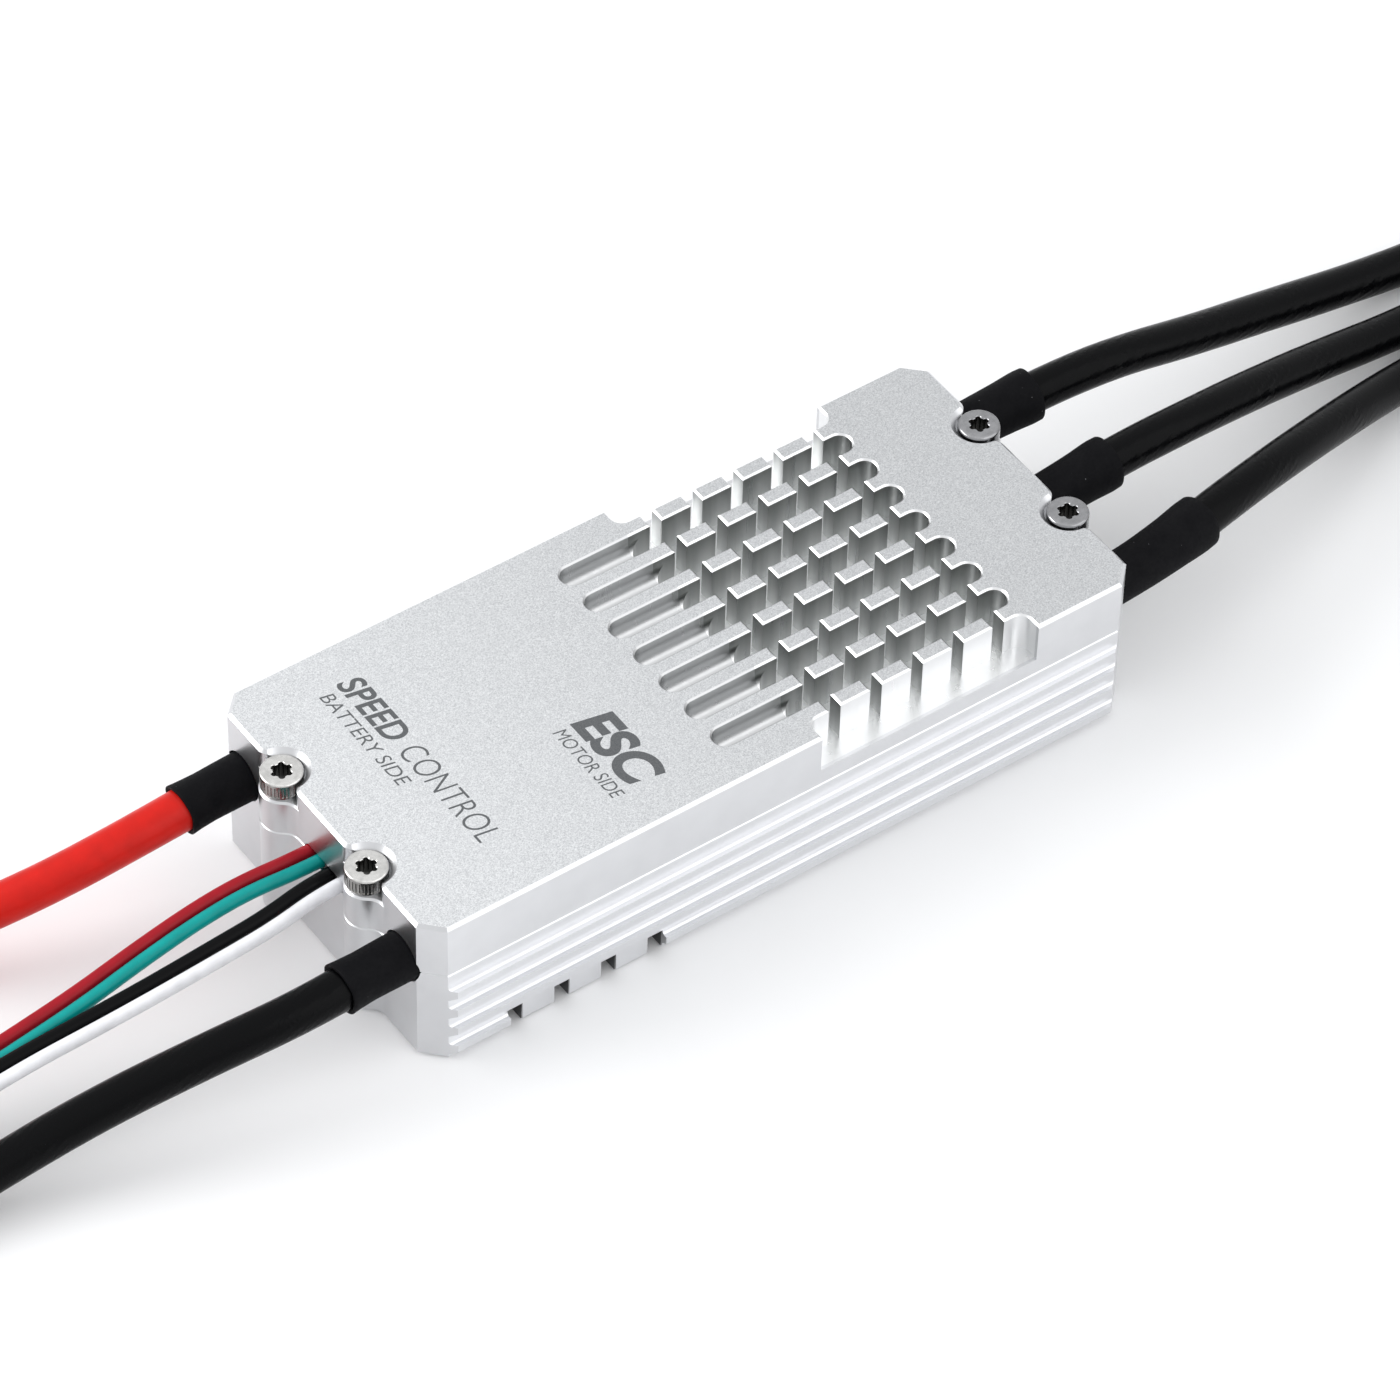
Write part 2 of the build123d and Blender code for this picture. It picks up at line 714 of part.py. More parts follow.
plug_x = signal_routes["red"][-1][0]
plug_z = signal_routes["red"][-1][2]
plug_rows = [signal_routes[k][-1][1] for k in signal_routes]
with BuildPart() as signal_plug:
    with BuildSketch(Plane.YZ.offset(plug_x)):
        with Locations((0, plug_z)):
            Rectangle(9.8, 2 * plug_z)
    extrude(amount=-plug_length)
    chamfer(signal_plug.edges(), 0.3)
    with BuildSketch(Plane.YZ.offset(plug_x - plug_length)):
        with Locations(*[(y, plug_z) for y in plug_rows]):
            Rectangle(0.9, 0.9)
    extrude(amount=5.0, mode=Mode.SUBTRACT)
    with BuildSketch(Plane.XY.offset(2 * plug_z)):
        with Locations((plug_x - plug_length / 2, 0)):
            Rectangle(5.0, 3.0)
    extrude(amount=0.7)
save(signal_plug.part, "signal_plug")
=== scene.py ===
"""The looks of the speed controller: leads, sleeves, lettering, materials, floor, lights and camera.

Everything is in metres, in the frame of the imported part: +X towards the motor leads, +Z up.
Names that end in _mm are in millimetres, and the Paint class takes its pattern sizes per millimetre.
"""

import math

import bmesh
import bpy
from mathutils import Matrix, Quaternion, Vector, noise


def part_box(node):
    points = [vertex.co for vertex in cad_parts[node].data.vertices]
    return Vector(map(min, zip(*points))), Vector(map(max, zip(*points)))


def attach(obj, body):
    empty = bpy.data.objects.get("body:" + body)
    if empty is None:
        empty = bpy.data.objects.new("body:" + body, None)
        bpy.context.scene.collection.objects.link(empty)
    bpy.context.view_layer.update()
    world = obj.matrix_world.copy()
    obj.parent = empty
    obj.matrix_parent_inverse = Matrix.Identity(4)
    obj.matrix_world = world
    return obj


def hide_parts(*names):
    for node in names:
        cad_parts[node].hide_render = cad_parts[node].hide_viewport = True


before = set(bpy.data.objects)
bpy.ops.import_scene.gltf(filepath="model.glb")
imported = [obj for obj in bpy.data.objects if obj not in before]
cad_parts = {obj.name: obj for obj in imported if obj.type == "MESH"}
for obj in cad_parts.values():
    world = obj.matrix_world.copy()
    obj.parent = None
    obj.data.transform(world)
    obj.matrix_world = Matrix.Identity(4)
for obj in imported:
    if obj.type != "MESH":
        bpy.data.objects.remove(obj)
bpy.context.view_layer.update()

MM = 0.001
shell_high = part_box("upper_shell")[1]
top_z = shell_high.z
top_z_mm = top_z / MM
side_y_mm = shell_high.y / MM

# places on the case
parting_mm = 12.7
groove_tip_mm = -5.6
field_start_mm = 3.65
field_end_mm = 32.0
field_floor_mm = 14.8
outer_pin_face_mm = 16.65
foot_slot_depth_mm = 2.7
foot_slots_middle_mm = -25.15
foot_slots_half_mm = 13.2
screw_x_mm = 43.6
screw_y_mm = 7.7


# ---- camera ----------------------------------------------------------------------------------


def place_camera():
    """A long lens that looks down at the case from beyond the battery end's near corner."""
    azimuth, elevation, roll = (math.radians(a) for a in (-36.548, 47.248, 1.722))
    distance, aside, above = 0.7235, 0.00202, 0.00026
    flat = math.cos(elevation)
    back = Vector((math.sin(azimuth) * flat, -math.cos(azimuth) * flat, math.sin(elevation)))
    turn = (-back).to_track_quat("-Z", "Y") @ Quaternion((0, 0, 1), roll)
    data = bpy.data.cameras.new("camera")
    data.sensor_width = 36.0
    data.lens = 180.79
    camera = bpy.data.objects.new("camera", data)
    camera.rotation_mode = "QUATERNION"
    camera.rotation_quaternion = turn
    camera.location = Vector((0, 0, top_z / 2)) + turn @ Vector((aside, above, distance))
    bpy.context.scene.collection.objects.link(camera)
    bpy.context.scene.camera = camera


place_camera()


# ---- materials ---------------------------------------------------------------------------------


class Paint:
    """A procedural material: its Principled shader, and short calls for the nodes that feed it."""

    def __init__(self, name, **constants):
        self.material = bpy.data.materials.new(name)
        self.material.use_nodes = True
        self.tree = self.material.node_tree
        self.shader = self.tree.nodes["Principled BSDF"]
        for socket, value in constants.items():
            self.feed(self.shader.inputs[socket.replace("_", " ")], value)
        spot = self.node("TexCoord")
        self.normal = spot.outputs["Normal"]
        self.mm = self.scaled(spot.outputs["Object"], 1 / MM)

    def feed(self, socket, value):
        if isinstance(value, bpy.types.Node):
            value = value.outputs[0]
        if isinstance(value, bpy.types.NodeSocket):
            self.tree.links.new(value, socket)
        else:
            socket.default_value = value

    def node(self, kind, inputs=None, **settings):
        made = self.tree.nodes.new("ShaderNode" + kind)
        for key, value in settings.items():
            setattr(made, key, value)
        for key, value in (inputs or {}).items():
            self.feed(made.inputs[key], value)
        return made

    def math(self, operation, *values, clamp=False):
        """Arithmetic on numbers or sockets."""
        return self.node("Math", dict(enumerate(values)), operation=operation, use_clamp=clamp)

    def both(self, first, *others):
        """The product of masks: 1 where all of them are 1."""
        for other in others:
            first = self.math("MULTIPLY", first, other)
        return first

    def size_of(self, value):
        """A number without its sign."""
        return self.math("ABSOLUTE", value)

    def scaled(self, vector, factor):
        """A vector or colour times a number."""
        return self.node("VectorMath", {"Vector": vector, "Scale": factor}, operation="SCALE")

    def axes(self, vector):
        """The x, y and z of a vector."""
        return self.node("SeparateXYZ", {"Vector": vector}).outputs

    def grain(self, per_mm, detail=2.0, rough=0.5, stretch=(1, 1, 1), where=None):
        """Noise from 0 to 1, of so many grains per millimetre, drawn out along an axis by stretch."""
        scale = tuple(1 / s for s in stretch)
        laid = self.node("Mapping", {"Vector": where or self.mm, "Scale": scale})
        knobs = {"Vector": laid, "Scale": per_mm, "Detail": detail, "Roughness": rough}
        return self.node("TexNoise", knobs)

    def ramp(self, value, low, high, start=0.0, stop=1.0):
        """value between low and high as a number between start and stop."""
        knobs = {"Value": value, "From Min": low, "From Max": high, "To Min": start, "To Max": stop}
        return self.node("MapRange", knobs)

    def blend(self, share, first, second):
        """A colour from first to second as share goes from 0 to 1."""
        made = self.node("Mix", data_type="RGBA")
        self.feed(made.inputs["Factor"], share)
        self.feed(made.inputs[6], first)
        self.feed(made.inputs[7], second)
        return made.outputs[2]

    def bump(self, height, depth_mm, under=None):
        """A normal raised by height from 0 to 1 over depth_mm, on top of another normal."""
        knobs = {"Height": height, "Distance": depth_mm * MM, "Strength": 1.0}
        if under is not None:
            knobs["Normal"] = under
        return self.node("Bump", knobs)

    def use(self, **sockets):
        """Feeds the shader's sockets and gives the finished material."""
        for socket, value in sockets.items():
            self.feed(self.shader.inputs[socket.replace("_", " ")], value)
        return self.material


def case_metal():
    """Aluminium: a blasted, sparkling top, cutter-marked walls in the fin field, and satin sides, with
    painted light and shade on them.
    """
    paint = Paint("case_metal", Metallic=1.0)
    x, y, z = paint.axes(paint.mm)
    nx, _, nz = paint.axes(paint.normal)
    off_middle = paint.size_of(y)
    near_top = paint.math("GREATER_THAN", z, top_z_mm - 0.6)
    blasted = paint.both(near_top, paint.math("GREATER_THAN", nz, 0.95))
    upright = paint.ramp(paint.size_of(nz), 0.6, 0.3)

    # the milled fin field, from the groove tips to its far end
    past_tips = paint.math("GREATER_THAN", x, groove_tip_mm - 0.2)
    before_end = paint.math("LESS_THAN", x, field_end_mm)
    off_sides = paint.math("LESS_THAN", off_middle, side_y_mm - 0.4)
    above_floor = paint.math("GREATER_THAN", z, field_floor_mm - 0.1)
    cut = paint.both(past_tips, before_end, off_sides, above_floor, paint.math("SUBTRACT", 1.0, blasted))
    walls = paint.both(cut, upright)

    # painted shade: the insides of the slots under the battery end, painted near black
    low = paint.math("LESS_THAN", z, foot_slot_depth_mm + 0.05)
    off_bottom = paint.math("GREATER_THAN", z, 0.05)
    within = paint.math("LESS_THAN", off_middle, side_y_mm - 0.25)
    among_slots = paint.math("COMPARE", x, foot_slots_middle_mm, foot_slots_half_mm)
    painted_slot_shade = paint.both(low, within, off_bottom, among_slots)

    sparkle = paint.grain(7.0, 2.0, 0.8)
    mottle = paint.grain(0.35, 3.0)
    streaks = paint.grain(1.3, 2.0, 0.5, stretch=(1, 1, 18))
    streaky = paint.ramp(streaks, 0.3, 0.7)

    grainy = paint.blend(paint.ramp(sparkle, 0.3, 0.7), (0.54, 0.55, 0.565, 1), (0.94, 0.95, 0.96, 1))
    # painted light: the blasted top is painted lighter towards the battery end and darker towards the motor
    # end
    grainy = paint.scaled(grainy, paint.ramp(x, -38.0, 20.0, 1.04, 0.84))

    # painted light and shade in the fin field: the pin walls are painted much darker than the field floor,
    # darker towards the pin tops and lighter towards the floor
    shaded_wall_color = paint.blend(streaky, (0.385, 0.395, 0.393, 1), (0.455, 0.463, 0.455, 1))
    shaded_wall_color = paint.scaled(shaded_wall_color, paint.ramp(z, top_z_mm - 0.5, field_floor_mm + 0.6, 0.8, 1.35))
    lit_floor_color = paint.blend(streaky, (0.78, 0.785, 0.79, 1), (0.9, 0.905, 0.91, 1))
    milled = paint.blend(upright, lit_floor_color, shaded_wall_color)
    # painted shade: the grooves before the fin field are painted a darker grey
    in_grooves = paint.math("LESS_THAN", x, field_start_mm)
    milled = paint.blend(in_grooves, milled, (0.6, 0.606, 0.61, 1))
    # painted light: the faces and floor beyond the outer pins are painted pale
    beyond_pins = paint.math("GREATER_THAN", off_middle, outer_pin_face_mm - 0.05)
    milled = paint.blend(beyond_pins, milled, (0.83, 0.835, 0.84, 1))

    satin = paint.blend(paint.ramp(mottle, 0.3, 0.7), (0.69, 0.695, 0.71, 1), (0.72, 0.725, 0.74, 1))
    # painted light and shade on the satin: the lower shell's sides are painted lighter than the upper
    # shell's, and faces towards the battery end darker
    painted_side_lighting = paint.ramp(z, parting_mm - 0.01, parting_mm + 0.01, 1.09, 1.03)
    satin = paint.scaled(satin, paint.ramp(nx, -0.3, -0.6, painted_side_lighting, 0.92))
    # painted shade: near black in the foot slots
    satin = paint.blend(painted_slot_shade, satin, (0.11, 0.112, 0.118, 1))
    color = paint.blend(blasted, paint.blend(cut, satin, milled), grainy)

    rough_wall = paint.ramp(streaks, 0.3, 0.7, 0.27, 0.34)
    rough_side = paint.ramp(mottle, 0.3, 0.7, 0.29, 0.33)
    rough_top = paint.ramp(sparkle, 0.3, 0.7, 0.34, 0.52)
    machined_rough = paint.node("Mix", {"Factor": cut, "A": rough_side, "B": rough_wall})
    roughness = paint.node("Mix", {"Factor": blasted, "A": machined_rough, "B": rough_top})

    pits = paint.bump(paint.both(sparkle, blasted), 0.03)
    normal = paint.bump(paint.both(streaks, walls), 0.0016, pits)
    return paint.use(Base_Color=color, Roughness=roughness, Normal=normal)


def screw_metal(name, color, roughness, painted_side_lighting=1.0, head_top_mm=None):
    """Metal with a fine turned finish, with painted shade down its sides and in the sockets of the cap
    screws.
    """
    socket_shade_radius_mm = 1.3
    socket_shade_from_mm = 12.0
    unshaded_rim_mm = 0.12
    paint = Paint(name, Metallic=1.0)
    fine = paint.grain(9.0, 2.0)
    stain = paint.grain(1.2, 3.0)
    darker = tuple(c * 0.8 for c in color)
    shade = paint.blend(paint.ramp(stain, 0.35, 0.7), (*color, 1), (*darker, 1))
    rise = paint.size_of(paint.axes(paint.normal)[2])
    # painted shade: the sides of the screws are painted darker than their tops
    shade = paint.scaled(shade, paint.ramp(rise, 0.2, 0.6, painted_side_lighting, 1.0))
    if head_top_mm:
        x, y, z = paint.axes(paint.mm)
        off_x = paint.math("SUBTRACT", paint.size_of(x), screw_x_mm)
        off_y = paint.math("SUBTRACT", paint.size_of(y), screw_y_mm)
        off_axis = paint.node("CombineXYZ", {"X": off_x, "Y": off_y})
        away = paint.node("VectorMath", {"Vector": off_axis}, operation="LENGTH").outputs["Value"]
        central = paint.math("LESS_THAN", away, socket_shade_radius_mm)
        sunk = paint.math("LESS_THAN", z, head_top_mm - unshaded_rim_mm)
        high = paint.math("GREATER_THAN", z, socket_shade_from_mm)
        # painted shade: the sockets of the cap screws are painted near black, all but a thin rim at their
        # mouths
        shade = paint.blend(paint.both(central, sunk, high), shade, (0.13, 0.13, 0.125, 1))
    return paint.use(
        Base_Color=shade,
        Roughness=paint.ramp(fine, 0.3, 0.7, roughness * 0.8, roughness * 1.3),
        Normal=paint.bump(fine, 0.003),
    )


def insulation(name, color, roughness=0.42, sheen=0.45, strands=0.0):
    """Silicone insulation: satin, faintly mottled, with its strands showing through here and there."""
    paint = Paint(name, Specular_IOR_Level=sheen)
    mottle = paint.grain(0.5, 3.0)
    fine = paint.grain(8.0, 2.0)
    dark = tuple(c * 0.86 for c in color)
    shade = paint.blend(paint.ramp(mottle, 0.3, 0.7), (*color, 1), (*dark, 1))
    normal = paint.bump(fine, 0.002)
    if strands:
        along = paint.axes(paint.node("UVMap", uv_map="wrap"))
        strands_around, lay_mm = 16, 2.2
        around = paint.math("MULTIPLY", along[0], 2 * math.pi * strands_around)
        down = paint.math("MULTIPLY", along[1], 2 * math.pi / lay_mm)
        ridge = paint.ramp(paint.math("SINE", paint.math("ADD", around, down)), -1, 1)
        pebbles = paint.ramp(paint.grain(1.5, 1.0), 0.35, 0.65)
        patches = paint.ramp(paint.grain(0.16, 2.0), 0.38, 0.6)
        lifted = paint.both(ridge, pebbles, patches)
        normal = paint.bump(lifted, strands, normal)
    rough = paint.ramp(mottle, 0.3, 0.7, roughness * 0.9, roughness * 1.15)
    return paint.use(Base_Color=shade, Roughness=rough, Normal=normal)


def shrink_tube():
    """Heat-shrink tubing: matte black, faintly orange-peeled, with a few dust specks."""
    paint = Paint("shrink_tube", Specular_IOR_Level=0.09)
    peel = paint.grain(3.0, 3.0)
    cloud = paint.ramp(paint.grain(0.6, 3.0), 0.3, 0.7)
    shade = paint.blend(cloud, (0.0025, 0.0025, 0.0035, 1), (0.0045, 0.0045, 0.0055, 1))
    dust = paint.ramp(paint.grain(3.4, 0.0), 0.87, 0.89)
    shade = paint.blend(paint.math("MULTIPLY", dust, 0.3), shade, (0.4, 0.4, 0.42, 1))
    rough = paint.ramp(peel, 0.3, 0.7, 0.6, 0.75)
    return paint.use(Base_Color=shade, Roughness=rough, Normal=paint.bump(peel, 0.01))


def moulded(name, color, roughness=0.5, per_mm=4.0, depth_mm=0.01):
    """Moulded plastic, laminate, ceramic or rubber: a little mottled, with a fine skin."""
    paint = Paint(name)
    skin = paint.grain(per_mm, 3.0)
    cloud = paint.grain(0.4, 2.0)
    darker = tuple(c * 0.82 for c in color)
    shade = paint.blend(paint.ramp(cloud, 0.3, 0.7), (*color, 1), (*darker, 1))
    rough = paint.ramp(skin, 0.3, 0.7, roughness * 0.85, roughness * 1.15)
    return paint.use(Base_Color=shade, Roughness=rough, Normal=paint.bump(skin, depth_mm))


def ink():
    """Laser-darkened lettering."""
    paint = Paint("ink", Metallic=0.0)
    speck = paint.grain(6.0, 2.0)
    shade = paint.blend(paint.ramp(speck, 0.3, 0.7), (0.06, 0.065, 0.07, 1), (0.12, 0.125, 0.13, 1))
    return paint.use(Base_Color=shade, Roughness=paint.ramp(speck, 0.3, 0.7, 0.5, 0.7))


metal = case_metal()
head_top_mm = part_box("battery_end_screws")[1].z / MM
bright_steel = screw_metal("bright_steel", (0.74, 0.73, 0.71), 0.2, painted_side_lighting=0.55, head_top_mm=head_top_mm)
# painted shade: the motor end screws are the same stainless steel as the battery end screws, painted darker
shaded_steel = screw_metal("shaded_steel", (0.36, 0.36, 0.37), 0.2, head_top_mm=head_top_mm)
plain_steel = screw_metal("plain_steel", (0.7, 0.69, 0.67), 0.2)
black_silicone = insulation("black_silicone", (0.0015, 0.0016, 0.002), 0.27, 0.085, strands=0.03)
red_silicone = insulation("red_silicone", (0.6, 0.01, 0.005), 0.34, 0.2, strands=0.006)
signal_paints = {
    "red": insulation("signal_red", (0.34, 0.003, 0.012), 0.34, 0.22),
    "teal": insulation("signal_teal", (0.0, 0.31, 0.29), 0.34, 0.22),
    "black": insulation("signal_black", (0.0015, 0.0016, 0.002), 0.3, 0.1),
    "white": insulation("signal_white", (0.85, 0.85, 0.88)),
}
shrink = shrink_tube()
tinned = screw_metal("tinned", (0.72, 0.72, 0.7), 0.25)
copper = screw_metal("copper", (0.8, 0.42, 0.24), 0.3)
laminate = moulded("laminate", (0.02, 0.12, 0.05), 0.35, per_mm=1.5)
epoxy = moulded("epoxy", (0.03, 0.03, 0.035), 0.55)
ceramic = moulded("ceramic", (0.45, 0.32, 0.2), 0.3)
gap_pad = moulded("gap_pad", (0.45, 0.5, 0.62), 0.7)
rubber = moulded("rubber", (0.02, 0.02, 0.02), 0.6)
nylon = moulded("nylon", (0.84, 0.84, 0.8), 0.4, depth_mm=0.004)

node_paints = {
    "upper_shell": metal,
    "lower_shell": metal,
    "battery_end_screws": bright_steel,
    "motor_end_screws": shaded_steel,
    "board_screws": plain_steel,
    "power_board": laminate,
    "control_board": laminate,
    "power_mosfets": epoxy,
    "gate_drivers": epoxy,
    "microcontroller": epoxy,
    "interface_chips": epoxy,
    "regulator_inductor": epoxy,
    "board_header": epoxy,
    "current_shunts": copper,
    "battery_bus_bars": copper,
    "motor_solder_pads": copper,
    "bus_capacitors": ceramic,
    "thermal_pad_upper": gap_pad,
    "thermal_pad_lower": gap_pad,
    "signal_grommet": rubber,
    "signal_plug": nylon,
}
for node_name, paint in node_paints.items():
    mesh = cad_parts[node_name].data
    mesh.materials.clear()
    mesh.materials.append(paint)


# ---- leads ---------------------------------------------------------------------------------------


def route_line(name, route_mm):
    """The smooth line of a route, in metres, read from the NURBS spline that it controls."""
    curve = bpy.data.curves.new(name + "_route", "CURVE")
    curve.dimensions = "3D"
    curve.resolution_u = 16
    spline = curve.splines.new("NURBS")
    spline.points.add(len(route_mm) - 1)
    for point, place in zip(spline.points, route_mm):
        point.co = (*(Vector(place) * MM), 1.0)
    spline.order_u = 3
    spline.use_endpoint_u = True
    holder = bpy.data.objects.new(name + "_route", curve)
    mesh = bpy.data.meshes.new_from_object(holder)
    line = [v.co.copy() for v in mesh.vertices]
    bpy.data.meshes.remove(mesh)
    bpy.data.objects.remove(holder)
    bpy.data.curves.remove(curve)
    return line


class Rail:
    """A line with a frame that rolls along it without twisting, read by distance from its start."""

    def __init__(self, line):
        self.line = line
        self.at = [0.0]
        for a, b in zip(line, line[1:]):
            self.at.append(self.at[-1] + (b - a).length)
        self.length = self.at[-1]
        steps = [(b - a).normalized() for a, b in zip(line, line[1:])]
        self.along = [steps[0]]
        self.along += [(a + b).normalized() for a, b in zip(steps, steps[1:])]
        self.along.append(steps[-1])
        side = Vector((0, 0, 1)).cross(self.along[0]).normalized()
        self.side = [side]
        for before, after in zip(self.along, self.along[1:]):
            side = before.rotation_difference(after) @ side
            self.side.append(side)

    def read(self, distance):
        """The point, direction and sideways axis at a distance along the line."""
        i = 0
        while i < len(self.at) - 2 and self.at[i + 1] < distance:
            i += 1
        share = (distance - self.at[i]) / (self.at[i + 1] - self.at[i])
        spot = self.line[i].lerp(self.line[i + 1], share)
        along = self.along[i].lerp(self.along[i + 1], min(max(share, 0), 1)).normalized()
        side = self.side[i].lerp(self.side[i + 1], min(max(share, 0), 1))
        side = (side - along * side.dot(along)).normalized()
        return spot, along, side

    def distance_to_x(self, x):
        """How far along the line it passes x."""
        for i, (a, b) in enumerate(zip(self.line, self.line[1:])):
            if min(a.x, b.x) <= x <= max(a.x, b.x):
                return self.at[i] + (self.at[i + 1] - self.at[i]) * (x - a.x) / (b.x - a.x)
        raise ValueError("the line doesn't reach that x")


def show(name, data):
    """A new piece of the part, from a mesh."""
    piece = bpy.data.objects.new(name, data)
    bpy.context.scene.collection.objects.link(piece)
    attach(piece, "root")
    return piece


def sweep(name, rail, rings, sides, paint):
    """A closed skin through rings.

    A ring is a distance along the rail and a function. For an angle, the function gives the radius there and
    how far the rim is shifted along the rail. All lengths are in metres.
    """
    mesh = bmesh.new()
    wrap = mesh.loops.layers.uv.new("wrap")
    loops = []
    for distance, radius_at in rings:
        spot, along, side = rail.read(distance)
        up = along.cross(side)
        loop = []
        for i in range(sides):
            angle = 2 * math.pi * i / sides
            radius, shift = radius_at(angle)
            out = side * math.cos(angle) + up * math.sin(angle)
            loop.append(mesh.verts.new(spot + out * radius + along * shift))
        loops.append(loop)
    for (ring_a, _), (ring_b, _), a, b in zip(rings, rings[1:], loops, loops[1:]):
        for i in range(sides):
            j = (i + 1) % sides
            face = mesh.faces.new((a[i], a[j], b[j], b[i]))
            face.smooth = True
            around = [i, i + 1, i + 1, i]
            down = [ring_a, ring_a, ring_b, ring_b]
            for corner, u, v in zip(face.loops, around, down):
                corner[wrap].uv = (u / sides, v / MM)
    mesh.faces.new(reversed(loops[0]))
    mesh.faces.new(loops[-1])
    bmesh.ops.recalc_face_normals(mesh, faces=mesh.faces)
    data = bpy.data.meshes.new(name)
    mesh.to_mesh(data)
    mesh.free()
    data.materials.append(paint)
    return show(name, data)


def even(radius):
    """A round ring of one radius."""
    return lambda angle: (radius, 0.0)


def insulated(name, rail, radius_mm, paint):
    """A lead's insulation, from end to end of its rail, with a rounded cut at each end and a slight swell."""
    radius = radius_mm * MM
    cut_radius = radius * 0.9
    cut_share = 0.002
    swell_share = 0.012
    swells_per_mm = 0.12
    step_mm = 1.0
    count = max(2, round(rail.length / MM / step_mm))
    rings = [(0.0, even(cut_radius))]
    for i in range(count + 1):
        distance = rail.length * (cut_share + (1 - 2 * cut_share) * i / count)
        place = Vector((distance / MM * swells_per_mm, radius_mm * 7, len(name)))
        swell = noise.noise(place) * swell_share
        rings.append((distance, even(radius * (1 + swell))))
    rings.append((rail.length, even(cut_radius)))
    return sweep(name, rail, rings, 48, paint)


def strand_tip(name, rail, radius_mm, length_mm, paint):
    """The bare end of a lead: three layers of strands, twisted together and tinned."""
    end, along, side = rail.read(rail.length)
    up = along.cross(side)
    strand = radius_mm / 5
    overlap = 1.06
    steps = 12
    twist = 0.14
    sides = 8
    strands = bmesh.new()
    for layer, count in enumerate((1, 6, 12)):
        out = layer * 2 * strand
        for k in range(count):
            path = []
            for i in range(steps + 1):
                turn = 2 * math.pi * k / count + twist * i
                away = side * math.cos(turn) + up * math.sin(turn)
                path.append(end + (along * length_mm * i / steps + away * out) * MM)
            line = Rail(path)
            last = None
            for i, shrink_by in enumerate([1.0] * steps + [0.6]):
                spot, ahead, beside = line.read(line.length * i / steps)
                over = ahead.cross(beside)
                ring = []
                for j in range(sides):
                    angle = 2 * math.pi * j / sides
                    around = beside * math.cos(angle) + over * math.sin(angle)
                    ring.append(strands.verts.new(spot + around * strand * shrink_by * overlap * MM))
                if last:
                    for j in range(sides):
                        m = (j + 1) % sides
                        strands.faces.new((last[j], last[m], ring[m], ring[j])).smooth = True
                else:
                    strands.faces.new(reversed(ring))
                last = ring
            strands.faces.new(last)
    data = bpy.data.meshes.new(name)
    bmesh.ops.recalc_face_normals(strands, faces=strands.faces)
    strands.to_mesh(data)
    strands.free()
    data.materials.append(paint)
    return show(name, data)


def sleeve(name, rail, start, stop, wire_mm, profile_mm):
    """Heat-shrink over a lead: an uneven rim, a wall of its own, and a radius that follows the profile."""
    wall_mm = 0.34
    rim_shift_mm = 0.25
    rim_level = 2.5
    seed = len(name) * 3.7

    def uneven(angle, level, size):
        return noise.noise(Vector((math.cos(angle) * 0.9 + seed, math.sin(angle) * 0.9, level))) * size

    def ring(radius_mm, wave_mm=0.04, shift_mm=0.0, level=0.0):
        return lambda angle: (
            (radius_mm + uneven(angle, level, wave_mm)) * MM,
            uneven(angle, seed, shift_mm) * MM,
        )

    def radius_at(share):
        for (a, ra), (b, rb) in zip(profile_mm, profile_mm[1:]):
            if share <= b:
                return ra + (rb - ra) * (share - a) / (b - a)
        return profile_mm[-1][1]

    bore_mm = wire_mm + 0.03
    count = 28
    rings = [(start, ring(bore_mm, 0.0)), (start, ring(radius_at(0.0)))]
    for i in range(1, count + 1):
        share = i / count
        skin = ring(radius_at(share), level=share * rim_level, shift_mm=rim_shift_mm * share)
        rings.append((start + (stop - start) * share, skin))
    rim = profile_mm[-1][1]
    lip = (stop - start) / abs(stop - start) * MM
    outer_lip = ring(rim - 0.04, level=rim_level, shift_mm=rim_shift_mm)
    inner_lip = ring(max(rim - wall_mm, bore_mm), level=rim_level, shift_mm=rim_shift_mm)
    rings.append((stop + lip * 0.03, outer_lip))
    rings.append((stop + lip * 0.04, inner_lip))
    rings.append((stop - lip * 0.5, ring(bore_mm, 0.0)))
    return sweep(name, rail, rings, 64, shrink)


